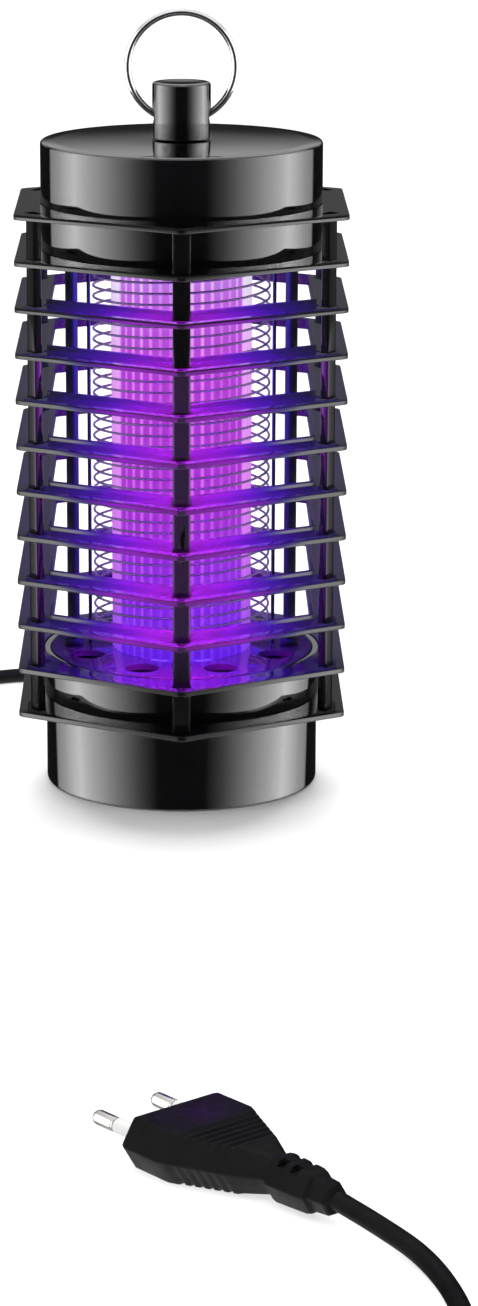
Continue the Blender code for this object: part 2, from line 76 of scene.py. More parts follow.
# Sizes that the boxes don't give, as in the CAD model unless a comment says otherwise
WALL = 2 * MM
RING_COUNT = 12
CLOSED_RINGS = (1, 2, 11, 12)
PLATE_THICKNESS = 1.7 * MM
PLATE_LAND = 11.2 * MM
PLATE_CORNER = 3 * MM
LIP_THICKNESS = 1.4 * MM
RIB_DISTANCE = 53.5 * MM
RIB_SIZE = (3 * MM, 5.5 * MM)
TRAY_SHOULDER = 27.6 * MM
TRAY_WALL = 1.8 * MM
GUIDE_WALL = 2 * MM
FLUTES = 42  # the CAD model's tube is plain
WINDING_RADIUS = 28.4 * MM
WINDING_PITCH = 7 * MM
WINDING_TURNS = 17
WIRE_DIAMETER = 0.8 * MM  # 0.9 mm in the CAD model
STAY_DISTANCE = 29.9 * MM
GRID_POST_DISTANCE = 35.4 * MM
FALL_HOLE_RADIUS = 5.5 * MM
FALL_HOLE_DISTANCE = 33 * MM
LED_DISTANCE = 10 * MM
CORD_DIAMETER = 5 * MM
PLUG_FACE = Vector((-2 * MM, -336 * MM, 0))
PLUG_TURN = radians(130)
PLUG_MIDDLE = 6.85 * MM
PLUG_TAIL = 60 * MM
PIN_SPACING = 19 * MM
PIN_RADIUS = 2 * MM
PIN_LENGTH = 19 * MM
SLEEVE_LENGTH = 10 * MM

CAGE_HALF_WIDTH = PLATE_HIGH.x
BODY_RADIUS = CAP_HIGH.x
BODY_HEIGHT = CAP_HIGH.z


# ---------------------------------------------------------------- camera


def add_camera():
    data = bpy.data.cameras.new("Camera")
    camera = bpy.data.objects.new("Camera", data)
    bpy.context.scene.collection.objects.link(camera)
    camera.location = (0, -1.2425, 0.3659)
    camera.rotation_euler.x = radians(90 - 15.906)
    data.sensor_fit = "VERTICAL"
    data.sensor_height = 36
    data.lens = 107.42
    data.shift_x = 0.044
    data.shift_y = 0.0658
    data.clip_end = 50
    bpy.context.scene.camera = camera


add_camera()


# ---------------------------------------------------------------- node helpers


class Nodes:
    """Builds a shader or world tree in a few short calls."""

    def __init__(self, tree):
        self.tree = tree

    def add(self, kind, **settings):
        node = self.tree.nodes.new(kind)
        for name, value in settings.items():
            setattr(node, name, value)
        return node

    def link(self, source, target):
        self.tree.links.new(source, target)

    def feed(self, value, socket):
        """Sets the socket to a number, or links it to another socket."""
        if isinstance(value, bpy.types.NodeSocket):
            self.link(value, socket)
        else:
            socket.default_value = value

    def math(self, operation, a, b=0.0):
        node = self.add("ShaderNodeMath", operation=operation)
        self.feed(a, node.inputs[0])
        self.feed(b, node.inputs[1])
        return node.outputs[0]

    def spread(self, value, low, high, to_low=0.0, to_high=1.0, smooth=False):
        """value from low..high to to_low..to_high, held at its ends."""
        node = self.add("ShaderNodeMapRange")
        if smooth:
            node.interpolation_type = "SMOOTHSTEP"
        for socket, given in zip(node.inputs, (value, low, high, to_low, to_high)):
            self.feed(given, socket)
        return node.outputs[0]

    def noise(self, coordinates, scale, detail=2.0):
        node = self.add("ShaderNodeTexNoise")
        self.link(coordinates, node.inputs["Vector"])
        node.inputs["Scale"].default_value = scale
        node.inputs["Detail"].default_value = detail
        return node.outputs[0]

    def mix(self, share, a, b):
        node = self.add("ShaderNodeMix", data_type="RGBA")
        self.feed(share, node.inputs[0])
        self.feed(a, node.inputs[6])
        self.feed(b, node.inputs[7])
        return node.outputs[2]

    def ramp(self, value, stops):
        """A colour for a number from 0 to 1, by (place, colour) stops."""
        node = self.add("ShaderNodeValToRGB")
        elements = node.color_ramp.elements
        while len(elements) < len(stops):
            elements.new(0.5)
        for element, (place, color) in zip(elements, stops):
            element.position = place
            element.color = color
        self.link(value, node.inputs[0])
        return node.outputs[0]


def grey(value):
    return (value, value, value, 1)


# ---------------------------------------------------------------- materials

MATERIALS = {}


def surface(slot, color, roughness, metallic=0.0, ior=1.5, coat=0.0, **detail):
    """A plastic or metal with slight changes of tone and gloss, and a fine surface relief.

    tone and gloss are the spread of the colour and the roughness, grain the size of the relief
    in metres, and relief its depth in metres.
    """
    tone = detail.get("tone", 0.15)
    gloss = detail.get("gloss", 0.03)
    grain = detail.get("grain", 0.8 * MM)
    relief = detail.get("relief", 0.01 * MM)
    made = bpy.data.materials.new(slot)
    made.use_nodes = True
    nodes = Nodes(made.node_tree)
    shader = made.node_tree.nodes["Principled BSDF"]
    place = nodes.add("ShaderNodeTexCoord").outputs["Object"]
    clouds = nodes.noise(place, 1 / (14 * MM), 3)
    marks = nodes.noise(place, 1 / (2.5 * MM), 4)
    light = [min(1, c * (1 + tone)) for c in color]
    dark = [c * (1 - tone) for c in color]
    share = nodes.spread(clouds, 0.3, 0.7)
    nodes.link(nodes.mix(share, (*dark, 1), (*light, 1)), shader.inputs["Base Color"])
    rough = nodes.spread(marks, 0.25, 0.75, max(0.02, roughness - gloss), roughness + gloss)
    nodes.link(rough, shader.inputs["Roughness"])
    bump = nodes.add("ShaderNodeBump")
    bump.inputs["Distance"].default_value = relief
    bump.inputs["Strength"].default_value = 1.0
    nodes.link(nodes.noise(place, 1 / grain, 2), bump.inputs["Height"])
    nodes.link(bump.outputs[0], shader.inputs["Normal"])
    shader.inputs["Metallic"].default_value = metallic
    shader.inputs["IOR"].default_value = ior
    shader.inputs["Coat Weight"].default_value = coat
    shader.inputs["Coat Roughness"].default_value = detail.get("coat_roughness", 0.03)
    MATERIALS[slot] = made
    return nodes, shader


def light_tube_material():
    """Frosted plastic that glows white-violet near the diodes at its top and violet further down, with a
    painted whitish glare down its left and right sides.
    """
    nodes, shader = surface("frosted_tube", (0.16, 0.05, 0.2), 0.25, coat=1.0, relief=0.02 * MM)
    place = nodes.add("ShaderNodeTexCoord").outputs["Object"]
    axes = nodes.add("ShaderNodeSeparateXYZ")
    nodes.link(place, axes.inputs[0])
    x, y, z = axes.outputs
    height = nodes.spread(z, TUBE_LOW.z, TUBE_HIGH.z)
    deep = nodes.ramp(
        height,
        (
            (0.0, (0.10, 0.01, 0.75, 1)),
            (0.14, (0.20, 0.01, 0.75, 1)),
            (0.40, (0.36, 0.02, 0.60, 1)),
            (0.75, (0.44, 0.04, 0.62, 1)),
            (0.90, (0.50, 0.11, 0.74, 1)),
            (1.0, (0.52, 0.25, 0.80, 1)),
        ),
    )
    bright = nodes.ramp(
        height,
        (
            (0.0, (0.18, 0.03, 0.90, 1)),
            (0.14, (0.42, 0.05, 0.92, 1)),
            (0.40, (0.70, 0.13, 0.86, 1)),
            (0.75, (0.82, 0.24, 0.95, 1)),
            (0.90, (0.88, 0.48, 0.98, 1)),
            (1.0, (0.90, 0.70, 1.0, 1)),
        ),
    )
    # rim: painted whitish glare for the tube's left and right sides, not light that the tube gives off
    rim = nodes.ramp(
        height,
        (
            (0.0, (0.22, 0.05, 0.88, 1)),
            (0.14, (0.50, 0.12, 0.88, 1)),
            (0.40, (0.78, 0.25, 0.92, 1)),
            (0.75, (0.86, 0.40, 0.95, 1)),
            (0.90, (0.86, 0.72, 0.95, 1)),
            (1.0, (0.84, 0.90, 0.93, 1)),
        ),
    )
    turn = nodes.math("ARCTAN2", x, y)
    wave = nodes.math("COSINE", nodes.math("MULTIPLY", turn, FLUTES))
    crest = nodes.spread(wave, 0.1, 1.0, smooth=True)
    uneven = nodes.math("SINE", nodes.math("MULTIPLY", turn, 7))
    crest = nodes.math("MULTIPLY", crest, nodes.spread(uneven, -1, 1, 0.35, 1.0))
    # edge: where the painted glare covers the glow, at the tube's left and right sides
    side = nodes.math("ABSOLUTE", nodes.math("DIVIDE", x, TUBE_HIGH.x))
    edge = nodes.spread(side, 0.84, 0.88, smooth=True)
    glow = nodes.mix(edge, nodes.mix(crest, deep, bright), rim)
    nodes.link(glow, shader.inputs["Emission Color"])
    shader.inputs["Emission Strength"].default_value = 0.95


def led_material():
    nodes, shader = surface("led_clear", (0.6, 0.4, 0.95), 0.08, coat=1.0)
    glow = nodes.ramp(
        nodes.noise(nodes.add("ShaderNodeTexCoord").outputs["Object"], 1 / MM),
        ((0.3, (0.6, 0.4, 1.0, 1)), (0.7, (0.95, 0.85, 1.0, 1))),
    )
    nodes.link(glow, shader.inputs["Emission Color"])
    shader.inputs["Emission Strength"].default_value = 4.0


def board_material():
    """Solder mask with faint copper tracks under it."""
    nodes, shader = surface("board_green", (0.03, 0.16, 0.07), 0.4, relief=0.02 * MM)
    place = nodes.add("ShaderNodeTexCoord").outputs["Object"]
    bands = nodes.add("ShaderNodeTexWave", wave_type="BANDS", bands_direction="X")
    nodes.link(place, bands.inputs["Vector"])
    bands.inputs["Scale"].default_value = 1 / (9 * MM)
    bands.inputs["Distortion"].default_value = 1.5
    share = nodes.spread(bands.outputs[1], 0.62, 0.7)
    track = nodes.mix(share, (0.025, 0.13, 0.06, 1), (0.05, 0.24, 0.09, 1))
    nodes.link(track, shader.inputs["Base Color"])


def make_materials():
    # The plates beside the light, and the deck under it, get a lighter copy of the housing's gloss
    # black: painted light from the glow inside the cage. They are glossier than the record's satin
    # black.
    surface("lit_black", (0.008, 0.008, 0.008), 0.05, coat=1.0, gloss=0.02, relief=0.001 * MM)
    surface("gloss_black", (0.004, 0.004, 0.005), 0.05, coat=1.0, gloss=0.02, relief=0.001 * MM)
    surface("satin_black", (0.022, 0.022, 0.028), 0.38, gloss=0.08, grain=0.3 * MM)
    surface("chrome", (0.62, 0.62, 0.64), 0.10, metallic=1.0, gloss=0.04, relief=0.002 * MM)
    surface("wire_steel", (0.55, 0.55, 0.6), 0.28, metallic=1.0, gloss=0.08)
    surface("capacitor_yellow", (0.55, 0.38, 0.05), 0.35, relief=0.03 * MM)
    surface("capacitor_red", (0.4, 0.06, 0.04), 0.3, relief=0.03 * MM)
    surface("fuse_glass", (0.7, 0.75, 0.75), 0.06, coat=1.0, relief=0.002 * MM)
    surface("cord_black", (0.010, 0.010, 0.011), 0.42, ior=1.3, gloss=0.08, relief=0.03 * MM)
    surface("nickel", (0.52, 0.51, 0.49), 0.14, metallic=1.0, gloss=0.05, relief=0.004 * MM)
    surface("sleeve_white", (0.80, 0.80, 0.79), 0.35, tone=0.03, grain=0.4 * MM)
    light_tube_material()
    led_material()
    board_material()


make_materials()


# ---------------------------------------------------------------- shape helpers


def filleted(corners, closed=False, steps=4):
    """An outline with its corners rounded. A corner is (x, y), or (x, y, radius)."""
    points = []
    count = len(corners)
    for i, corner in enumerate(corners):
        at = Vector(corner[:2])
        radius = corner[2] if len(corner) > 2 else 0
        if not radius or (not closed and i in (0, count - 1)):
            points.append(at)
            continue
        before = (Vector(corners[i - 1][:2]) - at).normalized()
        after = (Vector(corners[(i + 1) % count][:2]) - at).normalized()
        half = before.angle(after) / 2
        centre = at + (before + after).normalized() * (radius / sin(half))
        start = at + before * (radius / tan(half)) - centre
        end = at + after * (radius / tan(half)) - centre
        first = atan2(start.y, start.x)
        turn = (atan2(end.y, end.x) - first + pi) % (2 * pi) - pi
        for step in range(steps + 1):
            angle = first + turn * step / steps
            points.append(centre + radius * Vector((cos(angle), sin(angle))))
    return points


def mesh_of(bm, name="shape"):
    mesh = bpy.data.meshes.new(name)
    bmesh.ops.remove_doubles(bm, verts=bm.verts, dist=0.001 * MM)
    bmesh.ops.recalc_face_normals(bm, faces=bm.faces)
    bm.to_mesh(mesh)
    bm.free()
    return mesh


def lofted(loops, ring=False):
    """A mesh through loops of equal point count, capped at its ends or closed on itself."""
    bm = bmesh.new()
    rows = [[bm.verts.new(point) for point in loop] for loop in loops]
    for low, high in zip(rows, rows[1:] + rows[:1] if ring else rows[1:]):
        for i in range(len(low)):
            j = (i + 1) % len(low)
            bm.faces.new((low[i], low[j], high[j], high[i]))
    if not ring:
        bm.faces.new(rows[0])
        bm.faces.new(rows[-1])
    return mesh_of(bm)


def lathe(profile, steps=96, closed=False):
    """A shape turned about Z from (radius, z) points. An open profile starts and ends on the axis."""
    bm = bmesh.new()
    rows = []
    for step in range(steps):
        angle = 2 * pi * step / steps
        rows.append([bm.verts.new((r * cos(angle), r * sin(angle), z)) for r, z in profile])
    spans = len(profile) if closed else len(profile) - 1
    for a, b in zip(rows, rows[1:] + rows[:1]):
        for i in range(spans):
            j = (i + 1) % len(profile)
            bm.faces.new((a[i], b[i], b[j], a[j]))
    return mesh_of(bm)


def cylinder(radius, start, end, segments=32):
    """A plain cylinder between two points, as a tool to cut with."""
    bm = bmesh.new()
    along = end - start
    turn = Vector((0, 0, 1)).rotation_difference(along).to_matrix().to_4x4()
    bmesh.ops.create_cone(
        bm,
        cap_ends=True,
        segments=segments,
        radius1=radius,
        radius2=radius,
        depth=along.length,
        matrix=Matrix.Translation((start + end) / 2) @ turn,
    )
    return mesh_of(bm)


def rounded_box(size, edge, segments=3, place=None):
    bm = bmesh.new()
    bmesh.ops.create_cube(bm, size=1, matrix=Matrix.Diagonal((*size, 1)))
    if edge:
        bmesh.ops.bevel(
            bm, geom=bm.edges[:], offset=edge, segments=segments, profile=0.5, affect="EDGES"
        )
    bm.transform(place or Matrix())
    return mesh_of(bm)


def joined(meshes):
    bm = bmesh.new()
    for mesh in meshes:
        bm.from_mesh(mesh)
        bpy.data.meshes.remove(mesh)
    mesh = bpy.data.meshes.new("shape")
    bm.to_mesh(mesh)
    bm.free()
    return mesh


def carved(mesh, tool):
    """The mesh with the tool's shape cut out of it."""
    collection = bpy.context.scene.collection
    body = bpy.data.objects.new("carved body", mesh)
    cutter = bpy.data.objects.new("carving tool", tool)
    collection.objects.link(body)
    collection.objects.link(cutter)
    hole = body.modifiers.new("Cut", "BOOLEAN")
    hole.operation = "DIFFERENCE"
    hole.object = cutter
    graph = bpy.context.evaluated_depsgraph_get()
    result = bpy.data.meshes.new_from_object(body.evaluated_get(graph))
    bpy.data.objects.remove(body)
    bpy.data.objects.remove(cutter)
    bpy.data.meshes.remove(mesh)
    bpy.data.meshes.remove(tool)
    return result


def around(distance, count, first=0.0):
    """Points spread evenly on a circle, with their angles."""
    found = []
    for i in range(count):
        angle = first + 2 * pi * i / count
        found.append((distance * cos(angle), distance * sin(angle), angle))
    return found


def add_piece(name, data, slot, body, replaces=(), place=None, sharp=35):
    """A mesh or curve as a piece that rides on a body and stands for CAD nodes."""
    obj = bpy.data.objects.new(name, data)
    bpy.context.scene.collection.objects.link(obj)
    if not data.materials:
        data.materials.append(MATERIALS[slot])
    if isinstance(data, bpy.types.Mesh):
        data.shade_smooth()
        data.set_sharp_from_angle(angle=radians(sharp))
    if place:
        obj.matrix_world = place
    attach(obj, body)
    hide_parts(*replaces)
    return obj


def wire(points, diameter, resolution=4, closed=False):
    """A round wire along the points, as a curve with closed ends."""
    curve = bpy.data.curves.new("wire", "CURVE")
    curve.dimensions = "3D"
    curve.bevel_depth = diameter / 2
    curve.bevel_resolution = resolution
    curve.use_fill_caps = not closed
    line = curve.splines.new("POLY")
    line.use_cyclic_u = closed
    line.points.add(len(points) - 1)
    for point, at in zip(line.points, points):
        point.co = (*at, 1)
    line.use_smooth = True
    return curve


# ---------------------------------------------------------------- cord and plug


def plug_frame():
    """The plug's own frame: +X runs along its pins, and z = 0 is the surface it lies on."""
    return Matrix.Translation(PLUG_FACE) @ Matrix.Rotation(PLUG_TURN, 4, "Z")


def cord_route():
    """The cord's way from the strain relief to the plug, as in the CAD model."""
    radius = CORD_DIAMETER / 2 / MM
    behind = [
        (0, 68.9, 200),
        (0, 76, 199.8),
        (0, 85.5, 195.5),
        (0, 91.5, 187),
        (0, 93.5, 176),
        (0, 94, 140),
        (0, 94, 100),
        (0, 94, 60),
        (-0.5, 94.5, 36),
        (-4, 97, 19),
        (-13, 103, 7.5),
        (-27, 111, radius + 0.5),
        (-44, 116.5, radius),
    ]
    along_the_floor = [
        (-60, 116, radius),
        (-76, 107, radius),
        (-85, 90, radius),
        (-87, 60, radius),
        (-85, 10, radius),
        (-80, -60, radius),
        (-75, -140, radius),
        (-72, -220, radius),
        (-72, -300, radius),
        (-74, -380, radius),
        (-75, -450, radius),
        (-73, -500, radius),
        (-64, -530, radius),
        (-44, -548, radius),
        (-14, -556, radius),
        (18, -553, radius),
        (42, -540, radius),
        (57, -516, radius),
        (63, -488, radius),
        (64, -460, radius),
        (63, -437, radius),
        (60, -419, radius),
        (54.6, -404.8, radius + 0.9),
        (46.2, -393.5, radius + 2.7),
    ]
    tail = plug_frame() @ Vector((-PLUG_TAIL - 3 * GAP, 0, PLUG_MIDDLE))
    return [Vector(point) * MM for point in behind + along_the_floor] + [tail]


def smooth_curve(points, steps=6):
    """Points on a smooth curve through the given ones."""
    ends = [2 * points[0] - points[1]] + points + [2 * points[-1] - points[-2]]
    found = []
    for a, b, c, d in zip(ends, ends[1:], ends[2:], ends[3:]):
        for i in range(steps):
            t = i / steps
            even = 2 * b + (c - a) * t
            bend = (2 * a - 5 * b + 4 * c - d) * t**2 + (3 * b - a - 3 * c + d) * t**3
            found.append(0.5 * (even + bend))
    return found + [points[-1]]


def make_strain_relief():
    """A ribbed boot: a flange inside the cap, a groove for the wall, and a taper along the cord."""
    out = RELIEF_HIGH.y
    flange = BODY_RADIUS - WALL
    root = BODY_RADIUS + 3.2 * MM
    profile = [
        (0, RELIEF_LOW.y),
        (4.8 * MM, RELIEF_LOW.y, 0.4 * MM),
        (4.8 * MM, flange - 0.6 * MM, 0.3 * MM),
        (3.2 * MM, flange - 0.6 * MM),
        (3.2 * MM, BODY_RADIUS + 0.4 * MM),
        (5.2 * MM, BODY_RADIUS + 0.4 * MM, 0.4 * MM),
        (5.2 * MM, root, 0.7 * MM),
        (4.4 * MM, root + 0.2 * MM),
    ]
    ribs = 6
    step = (out - root - 2 * MM) / ribs
    for i in range(ribs):
        low = root + 1 * MM + step * i
        thick = 4.4 * MM - 0.9 * MM * i / (ribs - 1)
        profile += [
            (thick - 0.6 * MM, low, 0.15 * MM),
            (thick - 0.6 * MM, low + 0.4 * step, 0.15 * MM),
            (thick, low + 0.4 * step + 0.1 * MM, 0.3 * MM),
            (thick, low + step - 0.1 * MM, 0.3 * MM),
        ]
    profile += [(3.2 * MM, out - 0.8 * MM, 0.2 * MM), (3.2 * MM, out, 0.5 * MM), (0, out)]
    along_y = Matrix.Translation((0, 0, (RELIEF_LOW.z + RELIEF_HIGH.z) / 2))
    along_y @= Matrix.Rotation(-pi / 2, 4, "X")
    mesh = lathe(filleted(profile, steps=3), 40)
    return add_piece("relief_boot", mesh, "cord_black", "root", ["strain_relief"], along_y)


def plug_section(x, width, thickness, pinch):
    """A flattened hexagon with round corners; pinch lowers its two flat faces."""
    half = thickness / 2
    shoulder = width / 2 - min(half, width / 2) * 0.62
    flat = half - pinch
    corner = min(1.1 * MM, flat / 3)
    outline = filleted(
        [
            (width / 2, 0, corner),
            (shoulder, flat, corner),
            (-shoulder, flat, corner),
            (-width / 2, 0, corner),
            (-shoulder, -flat, corner),
            (shoulder, -flat, corner),
        ],
        closed=True,
        steps=4,
    )
    return [(x, point.x, PLUG_MIDDLE + point.y) for point in outline]


def make_plug_body():
    """The plug's moulded body, with grip ridges across its taper and a slotted cord clamp."""
    stations = [
        (0, 32.6, 11.6, 0),
        (-0.5, 34, 12.7, 0),
        (-1.6, 35.1, 13.5, 0),
        (-14, 35.2, 13.6, 0),
        (-16.6, 33.0, 13.5, 0),
    ]
    ridges = 6
    for i in range(ridges):
        start = -17.4 - 2.4 * i
        for step, pinch in ((0, 0.75), (0.8, 0.75), (1.2, 0.1), (2.0, 0.1)):
            x = start - step
            stations.append((x, 33.0 + (x + 16.6) * 0.88, 13.5 + (x + 16.6) * 0.06, pinch))
    stations += [
        (-32.5, 18.6, 12.3, 0.3),
        (-38.2, 11.2, 10.2, 0),
        (-39.4, 10.4, 9.6, 0),
        (-40.2, 10.6, 10.0, 0),
        (-41.0, 12.4, 11.2, 0),
        (-42.2, 13.0, 11.5, 0),
        (-52.8, 12.2, 10.7, 0),
        (-54.2, 11.4, 9.9, 0),
        (-54.8, 9.2, 8.8, 0),
        (-59.4, 8.6, 8.1, 0),
        (-60, 7.6, 7.2, 0),
    ]
    loops = [plug_section(x * MM, w * MM, t * MM, p * MM) for x, w, t, p in stations]
    body = lofted(loops)
    for x in (-44.6, -49.2):
        for side in (1, -1):
            place = Matrix.Translation((x * MM, side * 2.6 * MM, PLUG_MIDDLE + 6.0 * MM))
            body = carved(body, rounded_box((2.6 * MM, 2.4 * MM, 4 * MM), 0, place=place))
    nodes = ["plug_body"]
    return add_piece("plug_shell", body, "cord_black", "root", nodes, plug_frame(), sharp=28)


def make_pins():
    """The two pins: a white sleeve and a round-ended metal tip each."""
    made = []
    along_pin = Matrix.Rotation(pi / 2, 4, "Y")
    for i, side in enumerate((1, -1), 1):
        place = plug_frame() @ Matrix.Translation((0, side * PIN_SPACING / 2, PLUG_MIDDLE))
        place @= along_pin
        sleeve_end = GAP + SLEEVE_LENGTH
        sleeve = [
            (0, GAP),
            (PIN_RADIUS, GAP),
            (PIN_RADIUS, sleeve_end, 0.3 * MM),
            (0, sleeve_end),
        ]
        low = sleeve_end + GAP
        tip = [
            (0, low),
            (PIN_RADIUS - 0.15 * MM, low, 0.1 * MM),
            (PIN_RADIUS - 0.15 * MM, low + 0.5 * MM, 0.1 * MM),
            (PIN_RADIUS, low + 0.7 * MM, 0.1 * MM),
            (PIN_RADIUS, PIN_LENGTH, 1.7 * MM),
            (0, PIN_LENGTH),
        ]
        for name, node, profile, slot in (
            (f"pin_insulation_{i}", f"pin_sleeve_{i}", sleeve, "sleeve_white"),
            (f"pin_tip_{i}", f"plug_pin_{i}", tip, "nickel"),
        ):
            mesh = lathe(filleted(profile, steps=6), 32)
            made.append(add_piece(name, mesh, slot, "root", [node], place))
    return made


def make_cord():
    relief = make_strain_relief()
    on_cord = [relief, make_plug_body()] + make_pins()
    points = smooth_curve(cord_route())
    curve = wire(points, CORD_DIAMETER, resolution=5)
    cord = add_piece("mains_cord", curve, "cord_black", "root", ["power_cord"])
    cord.visible_glossy = False


make_cord()


# ---------------------------------------------------------------- cage


def rounded_hexagon(half_width, corner, arc_steps=8):
    """The outline of a hexagon whose corners point along Y, with round corners."""
    centre_distance = (half_width - corner) / cos(pi / 6)
    points = []
    for i in range(6):
        corner_angle = pi / 6 + i * pi / 3
        centre = Vector((cos(corner_angle), sin(corner_angle))) * centre_distance
        for step in range(arc_steps + 1):
            angle = corner_angle - pi / 6 + pi / 3 * step / arc_steps
            points.append(centre + Vector((cos(angle), sin(angle))) * corner)
    return points


def plate_corner(half_width):
    """The plate's corner radius at a distance from the middle, so that its edges stay even."""
    lip = CAGE_HALF_WIDTH - PLATE_LAND + LIP_THICKNESS
    edge = CAGE_HALF_WIDTH - 0.6 * MM
    if half_width < lip:
        return PLATE_CORNER - (lip - half_width)
    if half_width > edge:
        return PLATE_CORNER - (CAGE_HALF_WIDTH - half_width)
    share = (half_width - lip) / (edge - lip)
    return PLATE_CORNER - 0.6 * MM * share


def rib_slots():
    """The slots in the plates that the ribs pass through."""
    size = (RIB_SIZE[0] + 2 * GAP, RIB_SIZE[1] + 2 * GAP, 20 * MM)
    slots = []
    for x, y, angle in around(RIB_DISTANCE, 6, pi / 6):
        place = Matrix.Translation((x, y, 0)) @ Matrix.Rotation(angle, 4, "Z")
        slots.append(rounded_box(size, 0, place=place))
    return joined(slots)


def louvre_mesh():
    """A hexagonal plate with an upright lip round its opening, its top face at z = 0."""
    outer = CAGE_HALF_WIDTH
    inner = outer - PLATE_LAND
    lip = inner + LIP_THICKNESS
    lip_height = PLATE_HIGH.z - PLATE_LOW.z - PLATE_THICKNESS
    edge = 0.3 * MM
    section = filleted(
        [
            (outer, -PLATE_THICKNESS, edge),
            (outer, 0, edge),
            (lip, 0, 0.5 * MM),
            (lip, lip_height, 0.4 * MM),
            (inner, lip_height, 0.4 * MM),
            (inner, -PLATE_THICKNESS, 0.3 * MM),
        ],
        closed=True,
    )
    loops = []
    for half_width, z in section:
        outline = rounded_hexagon(half_width, plate_corner(half_width))
        loops.append([(*point, z) for point in outline])
    return carved(lofted(loops, ring=True), rib_slots())


def closed_louvre_mesh():
    """A hexagonal plate with a round hole that fits the wall, its top face at z = 0."""
    outer = CAGE_HALF_WIDTH
    edge = 0.3 * MM
    middle = outer - 4 * MM
    profile = filleted(
        [(middle, -PLATE_THICKNESS), (outer, -PLATE_THICKNESS, edge), (outer, 0, edge), (middle, 0)]
    )
    loops = []
    for half_width, z in profile:
        outline = rounded_hexagon(half_width, plate_corner(half_width))
        loops.append([(*point, z) for point in outline])
    plate = carved(lofted(loops), rib_slots())
    reach = Vector((0, 0, 20 * MM))
    return carved(plate, cylinder(BODY_RADIUS + GAP, -reach, reach, 96))


def make_cage():
    """Twelve louvre plates on six ribs."""
    louvre = louvre_mesh()
    closed = closed_louvre_mesh()
    for i in range(1, RING_COUNT + 1):
        node = f"louvre_ring_{i:02d}"
        mesh = closed if i in CLOSED_RINGS else louvre
        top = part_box(node)[0].z + PLATE_THICKNESS
        place = Matrix.Translation((0, 0, top))
        add_piece(f"louvre_plate_{i:02d}", mesh, "gloss_black", "root", [node], place)
    # The open plates take the lighter copy of the black: painted light from the glow.
    louvre.materials[0] = MATERIALS["lit_black"]
    for i, (x, y, angle) in enumerate(around(RIB_DISTANCE, 6, pi / 6), 1):
        node = f"cage_rib_{i}"
        low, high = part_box(node)
        place = Matrix.Translation((x, y, (low.z + high.z) / 2)) @ Matrix.Rotation(angle, 4, "Z")
        mesh = rounded_box((*RIB_SIZE, high.z - low.z), 0.8 * MM, 4)
        rib = add_piece(f"upright_rib_{i}", mesh, "gloss_black", "root", [node], place)
        rib.visible_glossy = False


# ---------------------------------------------------------------- housing


def make_cap():
    """The cap: a slightly crowned top, a rounded rim, and the hole that the cord leaves by."""
    crown = 0.35 * MM
    edge = 1.0 * MM
    bottom = CAP_LOW.z
    inner = BODY_RADIUS - WALL
    hole = 1.7 * MM
    flat = 9.0 * MM
    top = BODY_HEIGHT
    slope = [
        (flat + (BODY_RADIUS - edge - flat) * i / 8, top - crown * (i / 8) ** 2) for i in range(8)
    ]
    profile = (
        [(hole, top)]
        + slope
        + [
            (BODY_RADIUS, top - crown, edge),
            (BODY_RADIUS, bottom, 0.3 * MM),
            (inner, bottom, 0.3 * MM),
            (inner, top - WALL, 1.5 * MM),
            (hole, top - WALL),
        ]
    )
    shell = lathe(filleted(profile, closed=True, steps=6), 160, closed=True)
    height = (RELIEF_LOW.z + RELIEF_HIGH.z) / 2
    inside = Vector((0, BODY_RADIUS - 8 * MM, height))
    outside = Vector((0, BODY_RADIUS + 8 * MM, height))
    shell = carved(shell, cylinder(3.6 * MM, inside, outside))
    add_piece("cap_shell", shell, "gloss_black", "root", ["top_cap"])


def make_collar():
    inner = BODY_RADIUS - WALL
    low = COLLAR_LOW.z
    high = COLLAR_HIGH.z
    profile = [
        (BODY_RADIUS, high, 0.3 * MM),
        (BODY_RADIUS, low, 0.3 * MM),
        (inner, low, 0.3 * MM),
        (inner, high, 0.3 * MM),
    ]
    mesh = lathe(filleted(profile, closed=True), 160, closed=True)
    add_piece("collar_shell", mesh, "gloss_black", "root", ["bottom_collar"])


def make_bottom_deck():
    """The disc that dead insects fall through."""
    low = DECK_LOW.z
    high = DECK_HIGH.z
    radius = DECK_HIGH.x
    profile = [(0, high), (radius, high, 0.4 * MM), (radius, low, 0.4 * MM), (0, low)]
    disc = lathe(filleted(profile), 120)
    for x, y, _ in around(FALL_HOLE_DISTANCE, 8, pi / 8):
        start = Vector((x, y, low - MM))
        disc = carved(disc, cylinder(FALL_HOLE_RADIUS, start, Vector((x, y, high + MM))))
    add_piece("drop_deck", disc, "satin_black", "root", ["bottom_deck"])
    # The deck takes the lighter copy of the black: painted light from the glow.
    disc.materials[0] = MATERIALS["lit_black"]


def make_tray():
    """The cup that catches the insects: it is the lamp's foot."""
    radius = max(TRAY_HIGH.x, TRAY_HIGH.y)
    neck = BODY_RADIUS - WALL - 0.5 * MM
    inner = neck - TRAY_WALL
    foot = 3 * MM
    profile = [
        (0, WALL),
        (inner, WALL, 2 * MM),
        (inner, TRAY_HIGH.z, 0.5 * MM),
        (neck, TRAY_HIGH.z, 0.5 * MM),
        (neck, TRAY_SHOULDER, 0.3 * MM),
        (radius, TRAY_SHOULDER, 0.5 * MM),
        (radius, 0, 0.9 * MM),
        (radius - foot, 0, 0.3 * MM),
        (radius - foot - 0.6 * MM, 0.5 * MM, 0.2 * MM),
        (radius - foot - 2.4 * MM, 0.5 * MM, 0.2 * MM),
        (radius - foot - 3 * MM, 0, 0.3 * MM),
        (0, 0),
    ]
    mesh = lathe(filleted(profile, steps=6), 160)
    add_piece("tray_cup", mesh, "gloss_black", "tray", ["insect_tray"])


